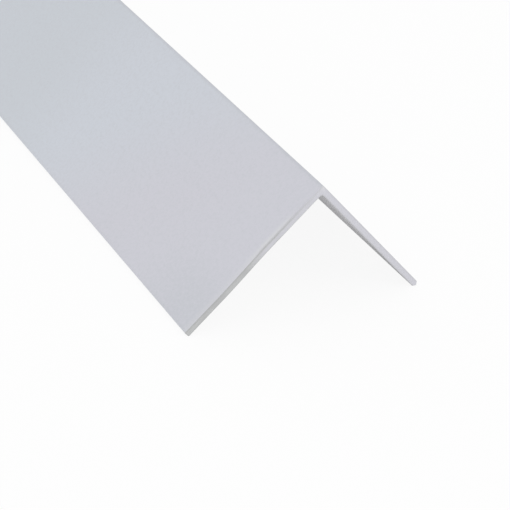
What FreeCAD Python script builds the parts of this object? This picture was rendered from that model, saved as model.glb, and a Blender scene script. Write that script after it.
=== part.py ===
import FreeCAD, Part
import os
import Sketcher

# Corner guard moulding: one length of extruded plastic angle with two equal legs at a right angle.
# It stands like a tent on its two lips, with the corner up. X runs across, Y along the length and
# Z up, and the origin is on the floor under the middle of the length. All sizes are millimetres.

# Driving sizes: name, value, what it measures
SIZES = (
    ("leg_width", "50.8", "outer corner to lip, alike on both legs"),
    ("wall_thickness", "1.8", "thickness of both legs"),
    ("stock_length", "1219.0", "one sawn end to the other"),
    ("corner_radius", "0.4", "outer corner"),
    ("root_radius", "0.8", "inner corner"),
    ("lip_radius", "0.3", "both arrises of each lip"),
    ("saw_break", "0.15", "break of the arrises round each sawn end"),
)

# The corner points up when the section, drawn with level and upright legs, turns this far about Y.
TENT_TURN = -45.0

# Height of the sharp outer corner when the inner arris of each lip touches the floor.
CORNER_HEIGHT = (
    "(Sizes.leg_width + Sizes.wall_thickness - 2 * Sizes.lip_radius) / sqrt(2) + Sizes.lip_radius"
)


def make_sizes(doc):
    """The sheet of driving sizes."""
    sheet = doc.addObject("Spreadsheet::Sheet", "Sizes")
    for row, (name, value, meaning) in enumerate(SIZES, start=1):
        sheet.set(f"A{row}", meaning)
        sheet.set(f"B{row}", value)
        sheet.setAlias(f"B{row}", name)
    doc.recompute()
    return sheet


def draw_section(body, sheet):
    """The sharp L section, seen along the length: outer corner at the origin, legs to the left and down."""
    sketch = body.newObject("Sketcher::SketchObject", "Section")
    plane = next(item for item in body.Origin.OriginFeatures if item.Role == "XZ_Plane")
    sketch.AttachmentSupport = [(plane, "")]
    sketch.MapMode = "FlatFace"

    leg = sheet.leg_width
    wall = sheet.wall_thickness
    corners = [(0, 0), (-leg, 0), (-leg, -wall), (-wall, -wall), (-wall, -leg), (0, -leg)]
    points = [FreeCAD.Vector(x, y, 0) for x, y in corners]
    count = len(points)
    for index, start in enumerate(points):
        sketch.addGeometry(Part.LineSegment(start, points[(index + 1) % count]))

    left_face, left_lip, left_inside, right_inside, right_lip, right_face = range(count)
    for index in range(count):
        sketch.addConstraint(Sketcher.Constraint("Coincident", index, 2, (index + 1) % count, 1))
    for level in (left_face, left_inside, right_lip):
        sketch.addConstraint(Sketcher.Constraint("Horizontal", level))
    for upright in (left_lip, right_inside, right_face):
        sketch.addConstraint(Sketcher.Constraint("Vertical", upright))
    sketch.addConstraint(Sketcher.Constraint("Coincident", left_face, 1, -1, 1))
    sketch.addConstraint(Sketcher.Constraint("Equal", left_face, right_face))
    sketch.addConstraint(Sketcher.Constraint("Equal", left_lip, right_lip))

    sized_lines = (("leg", left_face, "leg_width"), ("wall", left_lip, "wall_thickness"))
    for name, line, size in sized_lines:
        place = sketch.addConstraint(Sketcher.Constraint("Distance", line, getattr(sheet, size)))
        sketch.renameConstraint(place, name)
        sketch.setExpression(f"Constraints.{name}", f"Sizes.{size}")
    return sketch


def extrude(body, sketch):
    """The section drawn out to its stock length, half to each side of the middle."""
    pad = body.newObject("PartDesign::Pad", "Extrusion")
    pad.Profile = sketch
    pad.SideType = "Symmetric"
    pad.setExpression("Length", "Sizes.stock_length")
    return pad


def long_arrises(shape, places):
    """Names of the edges that run the whole length, one at each given place of the section."""
    names = []
    for x, z in places:
        middle = FreeCAD.Vector(x, 0, z)
        distances = [edge.CenterOfMass.distanceToPoint(middle) for edge in shape.Edges]
        names.append(f"Edge{distances.index(min(distances)) + 1}")
    return names


def end_arrises(shape):
    """Names of the edges round both sawn ends."""
    faces = sorted(shape.Faces, key=lambda face: face.CenterOfMass.y)
    rims = faces[0].Edges + faces[-1].Edges
    names = []
    for number, edge in enumerate(shape.Edges, start=1):
        if any(edge.isSame(rim) for rim in rims):
            names.append(f"Edge{number}")
    return names


def round_arrises(body, base, name, places, radius):
    """Rounds the arrises at the given places of the section."""
    fillet = body.newObject("PartDesign::Fillet", name)
    fillet.Base = (base, long_arrises(base.Shape, places))
    fillet.setExpression("Radius", radius)
    return fillet


def break_ends(body, base):
    """Takes the sharp arris off both sawn ends."""
    chamfer = body.newObject("PartDesign::Chamfer", "SawnEnds")
    chamfer.Base = (base, end_arrises(base.Shape))
    chamfer.setExpression("Size", "Sizes.saw_break")
    return chamfer


def make_corner_guard(doc, sheet):
    """The whole moulding, standing on its lips."""
    body = doc.addObject("PartDesign::Body", "CornerGuard")
    body.Label = "corner_guard"
    solid = extrude(body, draw_section(body, sheet))
    doc.recompute()

    leg = sheet.leg_width
    wall = sheet.wall_thickness
    lip_places = ((-leg, 0), (-leg, -wall), (-wall, -leg), (0, -leg))
    roundings = (
        ("OuterCorner", ((0, 0),), "Sizes.corner_radius"),
        ("Root", ((-wall, -wall),), "Sizes.root_radius"),
        ("Lips", lip_places, "Sizes.lip_radius"),
    )
    for name, places, radius in roundings:
        solid = round_arrises(body, solid, name, places, radius)
        doc.recompute()
    solid = break_ends(body, solid)
    body.Tip = solid

    upright = FreeCAD.Rotation(FreeCAD.Vector(0, 1, 0), TENT_TURN)
    body.Placement = FreeCAD.Placement(FreeCAD.Vector(0, 0, 0), upright)
    body.setExpression("Placement.Base.z", CORNER_HEIGHT)
    doc.recompute()
    return body


def check(doc, pieces):
    """Stops when a feature failed or a piece is not one valid solid."""
    for item in doc.Objects:
        if "Invalid" in item.State or "Error" in item.State:
            raise RuntimeError(f"{item.Label} failed: {item.State}")
    for piece in pieces:
        if piece.Shape.isNull() or not piece.Shape.isValid() or len(piece.Shape.Solids) != 1:
            raise RuntimeError(f"{piece.Label} is not one valid solid")


def main():
    doc = FreeCAD.newDocument("CornerGuardMoulding")
    sheet = make_sizes(doc)
    pieces = [make_corner_guard(doc, sheet)]
    check(doc, pieces)
    os.makedirs("parts", exist_ok=True)
    for piece in pieces:
        piece.Shape.exportStep(f"parts/{piece.Label}.step")
        box = piece.Shape.BoundBox
        print(f"{piece.Label}: volume {piece.Shape.Volume:.1f}")
        print(f"from {box.XMin:.3f}, {box.YMin:.3f}, {box.ZMin:.3f}")
        print(f"to {box.XMax:.3f}, {box.YMax:.3f}, {box.ZMax:.3f}")


main()
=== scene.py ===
import math
from collections import namedtuple

import bpy
import numpy as np
from bpy.props import FloatProperty, FloatVectorProperty, PointerProperty
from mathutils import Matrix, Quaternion, Vector


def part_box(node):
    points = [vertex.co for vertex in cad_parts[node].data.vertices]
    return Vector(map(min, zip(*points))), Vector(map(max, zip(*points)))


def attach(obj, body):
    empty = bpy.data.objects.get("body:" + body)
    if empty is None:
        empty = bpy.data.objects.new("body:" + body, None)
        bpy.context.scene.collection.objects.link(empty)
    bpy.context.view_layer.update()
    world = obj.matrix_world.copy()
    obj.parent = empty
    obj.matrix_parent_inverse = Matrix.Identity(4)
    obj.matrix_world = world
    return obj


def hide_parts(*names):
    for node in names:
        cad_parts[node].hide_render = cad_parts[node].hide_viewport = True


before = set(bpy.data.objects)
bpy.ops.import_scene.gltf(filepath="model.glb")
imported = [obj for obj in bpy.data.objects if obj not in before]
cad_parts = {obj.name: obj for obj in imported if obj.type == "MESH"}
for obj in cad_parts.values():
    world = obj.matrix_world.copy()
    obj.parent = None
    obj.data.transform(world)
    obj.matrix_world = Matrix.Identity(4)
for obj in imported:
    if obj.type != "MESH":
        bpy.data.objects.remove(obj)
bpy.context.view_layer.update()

bl_info = {
    "name": "Corner Guard Moulding",
    "version": (1, 0, 0),
    "blender": (4, 5, 0),
    "location": "View3D > Sidebar > Moulding",
    "description": "Builds a length of plastic corner guard and the studio it stands in",
    "category": "Add Mesh",
}

NODE = "corner_guard"

MM = 0.001
DIAGONAL = math.sqrt(0.5)

LIP_RADIUS = 0.3 * MM
node_low, node_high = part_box(NODE)
STOCK_LENGTH = node_high.y - node_low.y
# The widest point of each leg is on the rounded outer arris of its lip.
LEG_WIDTH = (node_high.x - LIP_RADIUS) / DIAGONAL + 2 * LIP_RADIUS


# Settings

def size(name, meaning, default):
    """A length in metres."""
    return FloatProperty(name=name, description=meaning, default=default, unit="LENGTH", precision=6)


def share(name, meaning, default):
    """A number from 0 to 1."""
    return FloatProperty(name=name, description=meaning, default=default, subtype="FACTOR", min=0, max=1)


def tint(name, meaning, default):
    """A colour."""
    return FloatVectorProperty(
        name=name, description=meaning, default=default, subtype="COLOR", size=3, min=0, max=1,
    )


class MouldingSizes(bpy.types.PropertyGroup):
    """Sizes of the moulding, in metres."""

    leg: size("Leg", "Outer corner to lip, on both legs", LEG_WIDTH)
    wall: size("Wall", "Thickness of both legs", 1.8 * MM)
    length: size("Length", "One sawn end to the other", STOCK_LENGTH)
    corner_radius: size("Corner radius", "Rounding of the outer corner", 0.4 * MM)
    root_radius: size("Root radius", "Rounding of the inner corner", 0.8 * MM)
    lip_radius: size("Lip radius", "Rounding of both arrises of each lip", LIP_RADIUS)
    saw_break: size("Saw break", "Rounding of the arris round each sawn end", 0.15 * MM)
    cut_slant: size("Cut slant", "How far a cut runs off square across one leg", 0.65 * MM)
    cut_step: size("Cut step", "Step between the two strokes of a cut", 0.48 * MM)
    burr: size("Burr", "Burr that the saw leaves on one lip of a cut", 0.70 * MM)
    blade_radius: size("Blade radius", "Radius of the saw marks on the cut ends", 125.0 * MM)
    saw_mark_depth: size("Saw mark depth", "Depth of the saw marks on the cut ends", 0.012 * MM)
    die_line_depth: size("Die line depth", "Depth of the faint lines along the faces", 0.0008 * MM)
    point_spacing: size("Point spacing", "Distance between mesh points across a face", 0.2 * MM)


class MouldingFinish(bpy.types.PropertyGroup):
    """Colours and surface of the plastic."""

    near_tint: tint("Near tint", "Plastic beside a cut, leaning to lavender", (0.592, 0.591, 0.645))
    mid_tint: tint("Mid tint", "Plastic a hand's width from a cut, leaning to blue", (0.583, 0.611, 0.665))
    far_tint: tint("Far tint", "Plastic along the rest of the length", (0.560, 0.591, 0.633))
    # Stressed tint: paler plastic beside a cut, also the painted highlight at a cut's outer corner
    stressed_and_highlight_tint: tint("Stressed tint", "Paler plastic beside a saw cut", (0.664, 0.670, 0.684))
    inner_tint: tint("Inner tint", "Greyer plastic of the inner faces", (0.596, 0.590, 0.600))
    # Worn tint: darker plastic of rubbed spots, also painted shade along the corner and lips
    worn_and_shade_tint: tint("Worn tint", "Rubbed plastic along the corner and lips", (0.530, 0.545, 0.585))
    sawn_tint: tint("Sawn tint", "Cut end, first stroke", (0.560, 0.560, 0.605))
    # Dull tint: a darker tone over the outer part of the slanted leg's cut
    darker_half_tint: tint("Dull tint", "Cut end, second stroke", (0.466, 0.474, 0.474))
    # Soil tint: the darker tint of painted shade low inside, and of the darker lines, arrises and patches
    # at the cuts
    dark_and_shade_tint: tint("Soil tint", "Dirt on a cut and on the faces beside it", (0.400, 0.405, 0.410))
    roughness: share("Roughness", "Roughness of the outer faces", 0.55)
    inner_roughness: share("Inner roughness", "Roughness of the inner faces", 0.80)
    sawn_roughness: share("Sawn roughness", "Roughness of the cut ends", 0.78)


class StudioSettings(bpy.types.PropertyGroup):
    """Floor, light and camera."""

    floor_colour: tint("Floor", "Colour of the floor", (0.93, 0.93, 0.93))
    shadow_depth: share("Shadow depth", "How far the floor's own shade shows through its white", 0.10)
    floor_glow: share("Floor glow", "How far the floor lights by itself, as a light table does", 0.30)
    ambient: FloatProperty(
        name="Ambient", description="Strength of the light from all round", default=0.85, min=0,
    )
    camera_place: FloatVectorProperty(
        name="Camera place", description="Camera from the outer corner of the near end",
        default=(-214.49 * MM, -298.88 * MM, 198.1 * MM), subtype="TRANSLATION", unit="LENGTH", size=3,
    )
    aim_along_leg: size("Aim along leg", "Aimed point from the corner, on the left face", 24.428 * MM)
    aim_from_end: size("Aim from end", "Aimed point from the near end", 1.52 * MM)
    camera_roll: FloatProperty(
        name="Camera roll", description="Turn of the camera about its own view line",
        default=math.radians(7.817), subtype="ANGLE",
    )
    lens: FloatProperty(
        name="Lens", description="Focal length in millimetres on a 36 mm wide sensor", default=117.75,
        unit="CAMERA",
    )


class MouldingSettings(bpy.types.PropertyGroup):
    """Everything that the panel shows."""

    sizes: PointerProperty(type=MouldingSizes)
    finish: PointerProperty(type=MouldingFinish)
    studio: PointerProperty(type=StudioSettings)


# Shader expressions

class Shade:
    """One output socket of a node tree. Arithmetic on values adds Math nodes to the tree."""

    def __init__(self, tree, socket=None):
        self.tree = tree
        self.socket = socket

    def node(self, kind, inputs=None, output=0, **settings):
        """Adds a node, its settings first and then the values or links of its sockets.

        Gives the output of that place or name, or several for a tuple of them.
        """
        made = self.tree.nodes.new(f"ShaderNode{kind}")
        for name, value in settings.items():
            setattr(made, name, value)
        for name, value in (inputs or {}).items():
            socket = self.pick(made.inputs, name)
            if isinstance(value, Shade):
                self.tree.links.new(value.socket, socket)
            else:
                socket.default_value = value
        if isinstance(output, tuple):
            return tuple(Shade(self.tree, self.pick(made.outputs, name)) for name in output)
        return Shade(self.tree, self.pick(made.outputs, output) if made.outputs else None)

    @staticmethod
    def pick(sockets, name):
        """The socket at that place or of that name, among those that the node's settings show."""
        shown = [socket for socket in sockets if socket.enabled]
        if isinstance(name, int):
            return shown[name]
        return next(socket for socket in shown if socket.name == name)

    def math(self, operation, *values):
        return self.node("Math", dict(enumerate(values)), operation=operation)

    def __add__(self, other):
        return self.math("ADD", self, other)

    def __sub__(self, other):
        return self.math("SUBTRACT", self, other)

    def __rsub__(self, other):
        return self.math("SUBTRACT", other, self)

    def __mul__(self, other):
        return self.math("MULTIPLY", self, other)

    __radd__ = __add__
    __rmul__ = __mul__

    def fade(self, start, end):
        """Goes smoothly from 0 where the value is start to 1 where it is end."""
        inputs = {"Value": self, "From Min": start, "From Max": end}
        return self.node("MapRange", inputs, interpolation_type="SMOOTHSTEP")

    def clamp(self):
        return self.node("Clamp", {"Value": self})

    def stretch(self, scale):
        """The vector with its three parts scaled."""
        return self.node("VectorMath", {0: self, 1: scale}, operation="MULTIPLY")

    def noise(self, grain, detail=0.0):
        """Noise about 0 whose grains are about that many metres across, read at this vector."""
        inputs = {"Vector": self, "Scale": 1 / grain, "Detail": detail}
        return self.node("TexNoise", inputs, output="Fac") - 0.5

    def mark(self, name):
        """A mark that the mesh's points carry."""
        return self.node("Attribute", output="Fac", attribute_name=name)

    def mix(self, first, second):
        """The first colour where this value is 0 and the second where it is 1."""
        inputs = {"Factor": self, "A": first, "B": second}
        return self.node("Mix", inputs, data_type="RGBA")


def new_material(name):
    """An empty material and the start of its expressions."""
    material = bpy.data.materials.new(name)
    material.use_nodes = True
    material.node_tree.nodes.clear()
    return material, Shade(material.node_tree)


def opaque(colour):
    return (*colour, 1.0)


# Section of the moulding

# A point of the section is its distance from the sharp outer corner along the left and the right leg.
# The loop goes from the left lip over the outside to the right lip and back inside. The first points,
# as many as run says, are the outside. Walk is each point's distance along the loop, and edge says how
# near the outer corner or a lip is, from 0 to 1.
Section = namedtuple("Section", "points normals walk run edge inside")

# Spacing of the fine and the wide lines that the die leaves along the faces
FINE_DIE_LINES = 0.7 * MM
WIDE_DIE_LINES = 2.4 * MM
# How far painted shade reaches from the outer corner and the lips, and a lip's share of the corner's
# painted shade
EDGE_SHADE_REACH = 0.8 * MM
LIP_SHADE_SHARE = 0.4


def smooth(values, start, end):
    """Goes smoothly from 0 where a value is start to 1 where it is end."""
    part = np.clip((values - start) / (end - start), 0, 1)
    return part * part * (3 - 2 * part)


def uneven(distances, spacing, seed):
    """Smooth random heights from -1 to 1 at distances along a line, the same each time."""
    steps = distances / spacing
    first = steps.astype(int)
    knots = np.random.default_rng(seed).uniform(-1, 1, first.max() + 2)
    part = smooth(steps - first, 0, 1)
    return knots[first] * (1 - part) + knots[first + 1] * part


def nearness(distance, reach):
    """Falls from 1 at no distance to about a third at the reach, and soon to nothing past it."""
    return np.exp(-np.square(distance / reach))


def flat_stretch(start, end, normal, count):
    """Evenly spaced points of a straight stretch, without its last, and their normals."""
    parts = np.linspace(0, 1, count, endpoint=False)[:, None]
    points = np.array(start) + parts * (np.array(end) - np.array(start))
    return points, np.tile(np.array(normal, float), (count, 1))


def round_stretch(centre, radius, first, last, count, hollow=False):
    """Points of a rounded stretch from one angle to another, without its last, and their normals."""
    angles = np.radians(np.linspace(first, last, count, endpoint=False))
    outward = np.stack([np.cos(angles), np.sin(angles)], axis=1)
    points = np.array(centre) + radius * outward
    return points, -outward if hollow else outward


def chain(stretches, last_point, last_normal):
    """One run of points and normals from stretches that follow each other."""
    points = np.concatenate([points for points, normals in stretches] + [[last_point]])
    normals = np.concatenate([normals for points, normals in stretches] + [[last_normal]])
    return points, normals


def section_runs(sizes):
    """Outer and inner run of the section, each from the middle of the left lip to that of the right one.

    Both runs have as many points, so that a point of one lies across the wall from one of the other.
    """
    leg, wall, lip = sizes.leg, sizes.wall, sizes.lip_radius
    corner, root = sizes.corner_radius, sizes.root_radius
    middle = wall / 2
    turn = wall + root
    across = round(leg / sizes.point_spacing)
    flat_steps, lip_steps, corner_steps = 3, 6, 8
    left, right, back_left, back_right = (1, 0), (0, 1), (-1, 0), (0, -1)

    outer = chain(
        [
            flat_stretch((leg, middle), (leg, lip), left, flat_steps),
            round_stretch((leg - lip, lip), lip, 0, -90, lip_steps),
            flat_stretch((leg - lip, 0), (corner, 0), back_right, across),
            round_stretch((corner, corner), corner, -90, -180, corner_steps),
            flat_stretch((0, corner), (0, leg - lip), back_left, across),
            round_stretch((lip, leg - lip), lip, 180, 90, lip_steps),
            flat_stretch((lip, leg), (middle, leg), right, flat_steps),
        ],
        (middle, leg), right,
    )
    inner = chain(
        [
            flat_stretch((leg, middle), (leg, wall - lip), left, flat_steps),
            round_stretch((leg - lip, wall - lip), lip, 0, 90, lip_steps),
            flat_stretch((leg - lip, wall), (turn, wall), right, across),
            round_stretch((turn, turn), root, -90, -180, corner_steps, hollow=True),
            flat_stretch((wall, turn), (wall, leg - lip), left, across),
            round_stretch((wall - lip, leg - lip), lip, 0, 90, lip_steps),
            flat_stretch((wall - lip, leg), (middle, leg), right, flat_steps),
        ],
        (middle, leg), right,
    )
    return outer, inner


def make_section(sizes):
    """The closed loop of the section, with the faint lines that the die leaves."""
    (outer, outer_normals), (inner, inner_normals) = section_runs(sizes)
    points = np.concatenate([outer, inner[-2:0:-1]])
    normals = np.concatenate([outer_normals, inner_normals[-2:0:-1]])
    steps = np.linalg.norm(np.diff(points, axis=0), axis=1)
    walk = np.concatenate([[0.0], np.cumsum(steps)])
    die_lines = uneven(walk, FINE_DIE_LINES, seed=3) + uneven(walk, WIDE_DIE_LINES, seed=4)
    points = points + normals * (sizes.die_line_depth * die_lines)[:, None]
    from_corner = points.sum(axis=1)
    from_lip = sizes.leg - points.max(axis=1)
    # Edge weights painted shade along the corner and lips on the faces, and a painted highlight on the
    # cuts
    edge = nearness(from_corner, EDGE_SHADE_REACH) + LIP_SHADE_SHARE * nearness(from_lip, EDGE_SHADE_REACH)
    inside = np.arange(len(points)) >= len(outer)
    return Section(points, normals, walk, len(outer), edge, inside)


def corner_height(sizes):
    """Height of the sharp outer corner when the moulding stands on its lips."""
    return (sizes.leg + sizes.wall - 2 * sizes.lip_radius) * DIAGONAL + sizes.lip_radius


def place(sizes, points, y):
    """Section points at given distances along the length, as points of the frame, tent fashion."""
    x = (points[:, 1] - points[:, 0]) * DIAGONAL
    z = corner_height(sizes) - points.sum(axis=1) * DIAGONAL
    return np.stack([x, np.broadcast_to(y, x.shape), z], axis=1)


# Mesh in the making

SKIN_SLOT, CUT_SLOT = 0, 1

# Marks of each mesh point: distance from the nearer cut in metres, share of the leg that the cut slants
# across, how much darker the arris of the cut is, how near the corner or a lip is, and 1 on the inner
# faces
MARKS = ("from_cut", "along", "arris_dark", "edge", "inside")

# The map for baking the finish, and how much of its width each cut face takes. Each half of the length
# takes the rest of its side, with a gap between it and its cut face.
BAKE_MAP = "OFBake"
CUT_WIDTH = 0.08
CUT_GAP = 0.02


class Draft:
    """Points, marks and faces of a mesh in the making."""

    def __init__(self):
        self.points = []
        self.marks = []
        self.faces = []
        self.places = []
        self.slots = []

    def add_points(self, points, marks):
        """Adds points, each with its row of marks, and gives their numbers."""
        first = len(self.points)
        self.points.extend(points)
        self.marks.extend(marks)
        return first + np.arange(len(points))

    def add_faces(self, corners, places, slot):
        """Adds faces from rows of point numbers and of places on the map.

        A number that comes twice in a row counts once.
        """
        for row, spots in zip(corners.tolist(), places.tolist()):
            face = dict(zip(row, spots))
            self.faces.append(list(face))
            self.places.extend(face.values())
            self.slots.append(slot)

    def finish(self, name):
        """The finished mesh, with its marks and its map."""
        mesh = bpy.data.meshes.new(name)
        mesh.from_pydata([tuple(point) for point in self.points], [], self.faces)
        mesh.polygons.foreach_set("material_index", self.slots)
        mesh.polygons.foreach_set("use_smooth", [True] * len(self.faces))
        for mark, values in zip(MARKS, np.array(self.marks, np.float32).T):
            mesh.attributes.new(mark, "FLOAT", "POINT").data.foreach_set("value", values.copy())
        mesh.uv_layers.new(name=BAKE_MAP).data.foreach_set("uv", np.ravel(self.places))
        mesh.update()
        return mesh


def mark_rows(*values):
    """A row of marks for each point, from a number or an array for each mark in turn."""
    return np.stack(np.broadcast_arrays(*values), axis=1)


def cells(grid):
    """The four corners of each cell of a grid, in order round the cell."""
    corners = np.stack([grid[:-1, :-1], grid[1:, :-1], grid[1:, 1:], grid[:-1, 1:]], axis=2)
    return corners.reshape(-1, *corners.shape[2:])


def map_grid(across, count):
    """Places on the map for a grid: count rows up its whole height, at the given places across."""
    up = np.linspace(0, 1, count)
    return np.stack(np.meshgrid(across, up), axis=2)


# Sawn ends

# Steps of the mesh across a cut face, round its broken arris and along half the length
CUT_STEPS = 8
BREAK_STEPS = 4
BODY_STEPS = 10

# Distances from the end at which a cut's slant, step and saw marks die out, and its burr
RELIEF_REACH = 15 * MM
BURR_REACH = 1.5 * MM
# Distances from the end of the rings of points between the broken arris and the plain length
END_RINGS = (0.5 * MM, 1.0 * MM, 2.0 * MM, 5.0 * MM, RELIEF_REACH)

# Shares of the slanted leg between which the second stroke of the saw takes over from the first
STROKE_CHANGE = (0.40, 0.75)
# A point that the rim of the blade passes through, as shares of the left and the right leg
BLADE_RIM = (0.4, 0.5)
# Spacing of the coarse and the fine saw marks, and the coarse ones' share of the depth
COARSE_MARKS = 1.6 * MM
FINE_MARKS = 0.55 * MM
COARSE_SHARE = 0.6
# How unevenly the arris of a cut is broken, and over what distance that changes
RAGGEDNESS = 0.35
RAGGED_SPACING = 0.5 * MM

# How much darker the arris of a cut is made: everywhere, what is added along the slanted leg, with the
# shares of that leg between which it rises, and the least that is added inside
LEAST_ARRIS_DARK = 0.3
LEG_ARRIS_DARK = 0.7
LEG_ARRIS_DARK_RISE = (0.05, 0.35)
INNER_ARRIS_DARK = 0.3
# How far the darker tone of an arris reaches over the cut face, and how strong it is there at the inner
# arris
ARRIS_DARK_REACH = 0.24 * MM
CUT_INNER_ARRIS_DARK = 0.2
# How far the painted highlight reaches over the cut face from the outer corner
CUT_HIGHLIGHT_REACH = 1.2 * MM


def left_at(distance, reach):
    """Falls evenly from 1 at no distance to 0 at the reach."""
    return max(0.0, 1 - distance / reach)


def ring_stations(sizes):
    """Distance of each ring of points from its end, up to the middle, and how far it is drawn in."""
    stations = []
    for step in range(BREAK_STEPS + 1):
        angle = math.radians(90) * step / BREAK_STEPS
        distance = sizes.saw_break * (1 - math.cos(angle))
        inset = sizes.saw_break * (1 - math.sin(angle))
        stations.append((distance, inset))
    for distance in END_RINGS:
        stations.append((distance, 0.0))
    for step in range(1, BODY_STEPS):
        stations.append((sizes.length / 2 * step / BODY_STEPS, 0.0))
    return stations


class SawnEnd:
    """One sawn end, which is -1 or 1, with the rings of points from its cut to the middle."""

    def __init__(self, sizes, section, end, seed):
        self.sizes = sizes
        self.section = section
        self.end = end
        self.seed = seed
        self.slanted_leg = 0 if end < 0 else 1
        self.ragged = 1 + RAGGEDNESS * uneven(section.walk, RAGGED_SPACING, seed)
        self.burr = self.burr_moves(1 - self.slanted_leg)
        leg_dark = LEG_ARRIS_DARK * smooth(self.along(section.points), *LEG_ARRIS_DARK_RISE)
        self.arris_dark = LEAST_ARRIS_DARK + np.maximum(leg_dark, INNER_ARRIS_DARK * section.inside)

    def along(self, points):
        """Share of the slanted leg at which each section point lies."""
        return points[:, self.slanted_leg] / self.sizes.leg

    def burr_moves(self, leg):
        """How far the burr on the lip of one leg, 0 or 1, moves each section point along that leg."""
        points = self.section.points
        on_lip = points[:, leg] > self.sizes.leg - self.sizes.lip_radius
        from_middle = abs(points[:, 1 - leg] - self.sizes.wall / 2)
        moves = np.zeros_like(points)
        moves[:, leg] = on_lip * np.maximum(0, self.sizes.burr - from_middle)
        return moves

    def shortfall(self, points):
        """How far the cut falls short: off square across one leg, with a step and shallow arcs."""
        sizes = self.sizes
        along = self.along(points)
        slant = sizes.cut_slant * (1 - along)
        step = sizes.cut_step * (1 - smooth(along, *STROKE_CHANGE))
        blade_centre = np.array(BLADE_RIM) * sizes.leg - (0, sizes.blade_radius)
        distance = np.linalg.norm(points - blade_centre, axis=1)
        coarse = uneven(distance, COARSE_MARKS, self.seed)
        fine = uneven(distance, FINE_MARKS, self.seed + 1)
        arcs = COARSE_SHARE * coarse + (1 - COARSE_SHARE) * fine
        return slant + step + sizes.saw_mark_depth * (1 - arcs)

    def outline(self, inset, burr_left):
        """Section points drawn in by an inset, with a share of the burr."""
        drawn_in = self.section.points - self.section.normals * (inset * self.ragged)[:, None]
        return drawn_in + burr_left * self.burr

    def add(self, draft):
        """Adds the end to a draft and gives the numbers of its rings of points, from the cut inward."""
        section = self.section
        along = self.along(section.points)
        shortfall = self.shortfall(section.points)
        rings = []
        for distance, inset in ring_stations(self.sizes):
            points = self.outline(inset, left_at(distance, BURR_REACH))
            relief = left_at(distance, RELIEF_REACH) * shortfall
            y = self.end * (self.sizes.length / 2 - distance - relief)
            marks = mark_rows(distance, along, self.arris_dark, section.edge, section.inside)
            rings.append(draft.add_points(place(self.sizes, points, y), marks))
        self.add_cut(draft, rings[0])
        return rings

    def add_cut(self, draft, rim):
        """Adds the cut face in its rim of points, in steps from the outer arris to the inner one."""
        run = self.section.run
        outline = self.outline(self.sizes.saw_break, 1.0)
        outside = np.arange(run)
        partner = -outside % len(outline)
        grid = np.zeros((run, CUT_STEPS + 1), int)
        grid[:, 0] = rim[outside]
        grid[:, -1] = rim[partner]
        grid[0] = rim[0]
        grid[-1] = rim[run - 1]
        for step in range(1, CUT_STEPS):
            part = step / CUT_STEPS
            points = outline[outside] * (1 - part) + outline[partner] * part
            y = self.end * (self.sizes.length / 2 - self.shortfall(points))
            marks = self.cut_marks(points, part)
            grid[1:-1, step] = draft.add_points(place(self.sizes, points, y)[1:-1], marks[1:-1])

        across = 0.5 + self.end * np.linspace(0.5, 0.5 - CUT_WIDTH, CUT_STEPS + 1)
        corners = cells(grid)
        places = cells(map_grid(across, run))
        way_round = 1 if self.end > 0 else -1
        draft.add_faces(corners[:, ::way_round], places[:, ::way_round], CUT_SLOT)

    def cut_marks(self, points, part):
        """Marks of points on the cut face, part of the way from its outer arris to its inner one."""
        from_arris = min(part, 1 - part) * self.sizes.wall
        arris_share = self.arris_dark[:self.section.run] if part < 0.5 else CUT_INNER_ARRIS_DARK
        arris_dark = nearness(from_arris, ARRIS_DARK_REACH) * arris_share
        edge = nearness(np.linalg.norm(points, axis=1), CUT_HIGHLIGHT_REACH)
        return mark_rows(0.0, self.along(points), arris_dark, edge, 0.0)


# Whole moulding

def ring_places(sizes):
    """Place of each ring of points across the map, from the near end to the far one.

    The nearer an end, the more room the map gives to a stretch of the length.
    """
    inward = np.sqrt([distance / (sizes.length / 2) for distance, inset in ring_stations(sizes)])
    outward = (1 - inward) * (0.5 - CUT_WIDTH - CUT_GAP)
    return np.concatenate([0.5 - outward, [0.5], 0.5 + outward[::-1]])


def moulding_mesh(sizes):
    """The moulding's mesh, with its extruded faces in material slot 0 and its cut ends in slot 1."""
    draft = Draft()
    section = make_section(sizes)
    near = SawnEnd(sizes, section, end=-1, seed=11).add(draft)
    far = SawnEnd(sizes, section, end=1, seed=21).add(draft)
    marks = mark_rows(sizes.length / 2, 0.0, 0.0, section.edge, section.inside)
    middle = draft.add_points(place(sizes, section.points, 0.0), marks)

    rings = near + [middle] + far[::-1]
    across = ring_places(sizes)
    last_band = len(rings) - 2
    for band, (first, second) in enumerate(zip(rings, rings[1:])):
        from_end = min(band, last_band - band)
        corners = np.stack([first, np.roll(first, -1), np.roll(second, -1), second], axis=1)
        places = cells(map_grid(across[band:band + 2], len(first) + 1))
        draft.add_faces(corners, places, CUT_SLOT if from_end < BREAK_STEPS else SKIN_SLOT)
    return draft.finish("corner_guard_moulding")


# Finish of the moulding

# Distances from a cut between which the plastic turns to blue and then to its plain tint, and how much
# further along the first turn lies at the lip of the slanted leg than at the corner
TURNS_BLUE = (12 * MM, 68 * MM)
TURNS_PLAIN = (85 * MM, 130 * MM)
BLUE_SLANT = 40 * MM

# Marks beside a cut, each from the distance to a cut where it begins to where it is full: darker towards
# the slanted leg's lip, a pale bruise, a darker line at the arris, and painted shade low inside
LIP_DARKENING = (32 * MM, 4 * MM)
BRUISED = (2.4 * MM, 0.3 * MM)
ARRIS_LINE = (0.90 * MM, 0.25 * MM)
INNER_SHADE = (24 * MM, 2 * MM)
# Heights above the floor where the painted shade on the inner faces begins and is full
INNER_SHADE_HEIGHT = (20 * MM, 8 * MM)


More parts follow.
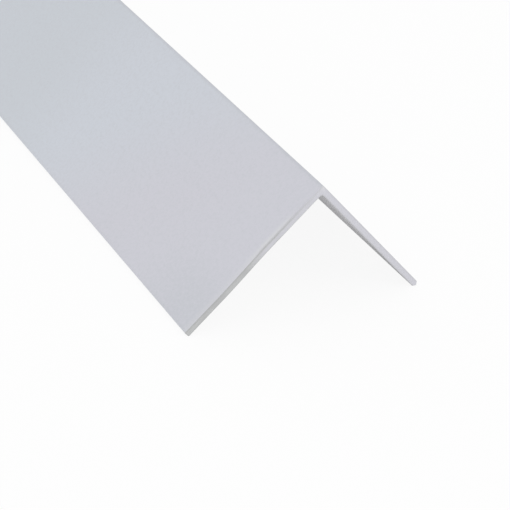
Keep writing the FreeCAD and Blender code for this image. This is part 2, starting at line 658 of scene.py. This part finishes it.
def length_tint(start, finish, clouds):
    """Colour of the plastic along the length: lavender beside a cut, then blue, then plain."""
    from_cut = start.mark("from_cut")
    to_blue = (from_cut - start.mark("along") * BLUE_SLANT).fade(*TURNS_BLUE) + clouds * 0.4
    to_plain = from_cut.fade(*TURNS_PLAIN) * (clouds * 0.8 + 0.9)
    colour = to_blue.clamp().mix(opaque(finish.near_tint), opaque(finish.mid_tint))
    return to_plain.clamp().mix(colour, opaque(finish.far_tint))


def rubbing_and_shade(start, mottle):
    """How far the skin turns darker: in rubbed spots all over, in painted shade along the corner and lips,
    and near a cut.
    """
    # Darker near a cut towards the slanted leg's lip
    lip_darkening = start.mark("from_cut").fade(*LIP_DARKENING) * start.mark("along").fade(0.55, 0.9)
    return (mottle + start.mark("edge") * 0.8 + lip_darkening * 0.55 + 0.12).clamp()


def marks_and_shade_by_cut(start, finish, colour, height, blotches):
    """The skin's colour with painted shade low inside, a pale bruise and a darker line beside each cut."""
    from_cut = start.mark("from_cut")
    along = start.mark("along")
    # Painted shade low on the inner faces near a cut
    inner_shade = start.mark("inside") * from_cut.fade(*INNER_SHADE) * height.fade(*INNER_SHADE_HEIGHT)
    pinched = along.fade(0.16, 0.30) - along.fade(0.40, 0.60) * 0.75
    bruise = from_cut.fade(*BRUISED) * (pinched + 0.15) * (blotches * 0.8 + 0.65)
    first_stroke = along.fade(0.0, 0.28) * along.fade(0.52, 0.42)
    # A darker line on the faces along the arris of a cut, over the first stroke
    arris_line = from_cut.fade(*ARRIS_LINE) * first_stroke * (blotches * 0.4 + 0.45)
    colour = inner_shade.mix(colour, opaque(finish.dark_and_shade_tint))
    colour = bruise.clamp().mix(colour, opaque(finish.stressed_and_highlight_tint))
    return arris_line.clamp().mix(colour, opaque(finish.dark_and_shade_tint))


def join_plastic(start, colour, rough, relief, shine):
    """Ends a material in a plastic of that colour, roughness, relief in metres and shine."""
    normal = start.node("Bump", {"Height": relief, "Distance": 1.0, "Strength": 1.0})
    shader = start.node("BsdfPrincipled", {
        "Base Color": colour, "Roughness": rough, "Normal": normal, "Specular IOR Level": shine,
    })
    start.node("OutputMaterial", {"Surface": shader})


def extruded_skin(finish):
    """Pale matte plastic of the faces: grain, streaks, rubbed spots, painted shade at edges and low
    inside, marks by cuts.
    """
    material, start = new_material("extruded_plastic")
    spot = start.node("TexCoord", output="Object")
    height = start.node("SeparateXYZ", {"Vector": spot}, output="Z")
    inside = start.mark("inside")
    clouds = spot.noise(90 * MM, detail=1.0)
    streaks = spot.stretch((1, 0.004, 1)).noise(1.3 * MM, detail=2.0)
    grain = spot.noise(0.4 * MM, detail=1.0)
    peel = spot.noise(2.2 * MM)
    blotches = spot.noise(0.9 * MM, detail=2.0)
    mottle = grain * 0.8 + blotches * 1.3 + streaks * 0.1

    colour = length_tint(start, finish, clouds)
    colour = inside.mix(colour, opaque(finish.inner_tint))
    # Rubbed spots, painted shade along the corner and lips, and darker near each cut
    colour = rubbing_and_shade(start, mottle).mix(colour, opaque(finish.worn_and_shade_tint))
    colour = marks_and_shade_by_cut(start, finish, colour, height, blotches)
    inner_step = finish.inner_roughness - finish.roughness
    rough = streaks * 0.10 + grain * 0.12 + inside * inner_step + finish.roughness
    relief = grain * (0.0008 * MM) + peel * (0.0012 * MM) + streaks * (0.0003 * MM)
    join_plastic(start, colour, rough, relief, shine=0.4)
    return material


def sawn_plastic(finish):
    """The cut ends: finely torn, painted highlight at the outer corner, darker and smudged over the
    slanted leg's outer part, darker at the arris.
    """
    material, start = new_material("sawn_plastic")
    spot = start.node("TexCoord", output="Object")
    torn = spot.noise(0.22 * MM, detail=2.0)
    drag = spot.stretch((1, 1, 0.2)).noise(0.5 * MM, detail=2.0)
    patches = spot.noise(1.6 * MM, detail=1.0)
    smudges = spot.noise(5.0 * MM, detail=1.0)
    along = start.mark("along") + patches * 0.08

    # Torn grain, and a painted highlight near the outer corner
    fresh_and_highlight = (torn * 0.4 + drag * 0.4 + start.mark("edge") * 0.75).clamp()
    # Darker over the outer part of the slanted leg
    darker_half = along.fade(0.02, 0.20) * 0.15 + along.fade(0.40, 0.57) * 0.85
    smudged = smudges.fade(-0.05, 0.15) * darker_half * 0.45
    darkened = start.mark("arris_dark") * (patches * 0.6 + 0.8) + smudged
    colour = fresh_and_highlight.mix(opaque(finish.sawn_tint), opaque(finish.stressed_and_highlight_tint))
    colour = darker_half.mix(colour, opaque(finish.darker_half_tint))
    # Darker at the arris and in smudged patches
    colour = darkened.clamp().mix(colour, opaque(finish.dark_and_shade_tint))
    rough = torn * 0.2 + finish.sawn_roughness
    relief = torn * (0.010 * MM) + drag * (0.010 * MM)
    join_plastic(start, colour, rough, relief, shine=0.3)
    return material


class MOULDING_OT_corner_guard(bpy.types.Operator):
    """Builds the moulding with its finish, in place of the plain solid"""

    bl_idname = "moulding.corner_guard"
    bl_label = "Corner guard"

    def execute(self, context):
        settings = context.scene.moulding
        mesh = moulding_mesh(settings.sizes)
        mesh.materials.append(extruded_skin(settings.finish))
        mesh.materials.append(sawn_plastic(settings.finish))
        piece = bpy.data.objects.new("corner_guard_moulding", mesh)
        context.scene.collection.objects.link(piece)
        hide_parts(NODE)
        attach(piece, "root")
        return {"FINISHED"}


# Studio

WHITE = (1, 1, 1, 1)
FLOOR_REACH = 20.0

# Lamps: name, place, aimed point, width and height in metres, power in watts, colour
LAMPS = (
    ("window", (-1.7, -0.5, 1.9), (0.0, -0.3, 0.0), (2.0, 2.6), 6.0, (0.97, 0.985, 1.0)),
    ("front", (-0.6, -1.7, 0.12), (0.0, -0.6, 0.02), (0.8, 0.2), 3.2, (1.0, 0.99, 0.98)),
    ("side", (0.42, -1.0, 0.30), (0.0, -0.6, 0.02), (0.25, 0.25), 0.3, (1.0, 0.99, 0.98)),
)


def seen_directly(start):
    """1 for rays from the camera and for those that mirror or glass sends on, else 0."""
    rays = start.node("LightPath", output=("Is Camera Ray", "Is Glossy Ray", "Is Transmission Ray"))
    return (rays[0] + rays[1] + rays[2]).clamp()


def floor_material(studio):
    """Pale floor that the camera sees as white, with a share of its own light and shadow left in."""
    material, start = new_material("pale_floor")
    plain = start.node("BsdfDiffuse", {"Color": opaque(studio.floor_colour)})
    white = start.node("Emission", {"Color": WHITE, "Strength": 1.0})
    whitened = seen_directly(start) * (1 - studio.shadow_depth - studio.floor_glow) + studio.floor_glow
    shader = start.node("MixShader", {0: whitened, 1: plain, 2: white})
    start.node("OutputMaterial", {"Surface": shader})
    return material


def make_floor(context, studio):
    """A wide level floor under the moulding."""
    near, far = -FLOOR_REACH, FLOOR_REACH
    corners = [(near, near, 0), (far, near, 0), (far, far, 0), (near, far, 0)]
    mesh = bpy.data.meshes.new("floor")
    mesh.from_pydata(corners, [], [(0, 1, 2, 3)])
    mesh.materials.append(floor_material(studio))
    floor = bpy.data.objects.new("floor", mesh)
    context.scene.collection.objects.link(floor)


def make_world(context, studio):
    """Even light from all round, which the camera sees as white."""
    world = bpy.data.worlds.new("studio")
    world.use_nodes = True
    world.node_tree.nodes.clear()
    start = Shade(world.node_tree)
    soft = start.node("Background", {"Color": WHITE, "Strength": studio.ambient})
    white = start.node("Background", {"Color": WHITE, "Strength": 1.0})
    shader = start.node("MixShader", {0: seen_directly(start), 1: soft, 2: white})
    start.node("OutputWorld", {"Surface": shader})
    context.scene.world = world


def facing(start, end):
    """Turn of a lamp or camera at start that looks at end, upright."""
    return (Vector(end) - Vector(start)).to_track_quat("-Z", "Y")


def make_lamps(context):
    """Soft lamps, which the camera doesn't see."""
    for name, spot, aim, (width, height), power, colour in LAMPS:
        lamp = bpy.data.lights.new(name, "AREA")
        lamp.shape = "RECTANGLE"
        lamp.size = width
        lamp.size_y = height
        lamp.energy = power
        lamp.color = colour
        holder = bpy.data.objects.new(name, lamp)
        holder.location = spot
        holder.rotation_mode = "QUATERNION"
        holder.rotation_quaternion = facing(spot, aim)
        holder.visible_camera = False
        context.scene.collection.objects.link(holder)


def make_camera(context, sizes, studio):
    """The camera, placed from the outer corner of the near end and aimed at the left leg's face."""
    near_corner = Vector((0, -sizes.length / 2, corner_height(sizes)))
    down_leg = studio.aim_along_leg * DIAGONAL
    aim = near_corner + Vector((-down_leg, studio.aim_from_end, -down_leg))
    data = bpy.data.cameras.new("camera")
    data.lens = studio.lens
    data.clip_start = 0.01
    camera = bpy.data.objects.new("camera", data)
    camera.location = near_corner + Vector(studio.camera_place)
    camera.rotation_mode = "QUATERNION"
    roll = Quaternion((0, 0, 1), studio.camera_roll)
    camera.rotation_quaternion = facing(camera.location, aim) @ roll
    context.scene.collection.objects.link(camera)
    context.scene.camera = camera


class MOULDING_OT_stage(bpy.types.Operator):
    """Makes the floor, the light and the camera"""

    bl_idname = "moulding.stage"
    bl_label = "Stage"

    def execute(self, context):
        settings = context.scene.moulding
        make_floor(context, settings.studio)
        make_world(context, settings.studio)
        make_lamps(context)
        make_camera(context, settings.sizes, settings.studio)
        context.scene.view_settings.view_transform = "Standard"
        return {"FINISHED"}


class VIEW3D_PT_moulding(bpy.types.Panel):
    """Sizes, finish and stage of the moulding"""

    bl_idname = "VIEW3D_PT_moulding"
    bl_label = "Corner guard moulding"
    bl_space_type = "VIEW_3D"
    bl_region_type = "UI"
    bl_category = "Moulding"

    def draw(self, context):
        settings = context.scene.moulding
        groups = (("Sizes", settings.sizes), ("Finish", settings.finish), ("Stage", settings.studio))
        for title, group in groups:
            box = self.layout.box()
            box.label(text=title)
            for name in group.__annotations__:
                box.prop(group, name)
        self.layout.operator(MOULDING_OT_corner_guard.bl_idname)
        self.layout.operator(MOULDING_OT_stage.bl_idname)


CLASSES = (
    MouldingSizes,
    MouldingFinish,
    StudioSettings,
    MouldingSettings,
    MOULDING_OT_corner_guard,
    MOULDING_OT_stage,
    VIEW3D_PT_moulding,
)


def register():
    for item in CLASSES:
        bpy.utils.register_class(item)
    bpy.types.Scene.moulding = PointerProperty(type=MouldingSettings)


def unregister():
    del bpy.types.Scene.moulding
    for item in reversed(CLASSES):
        bpy.utils.unregister_class(item)


def main():
    register()
    bpy.ops.moulding.corner_guard()
    bpy.ops.moulding.stage()


if __name__ == "__main__":
    main()
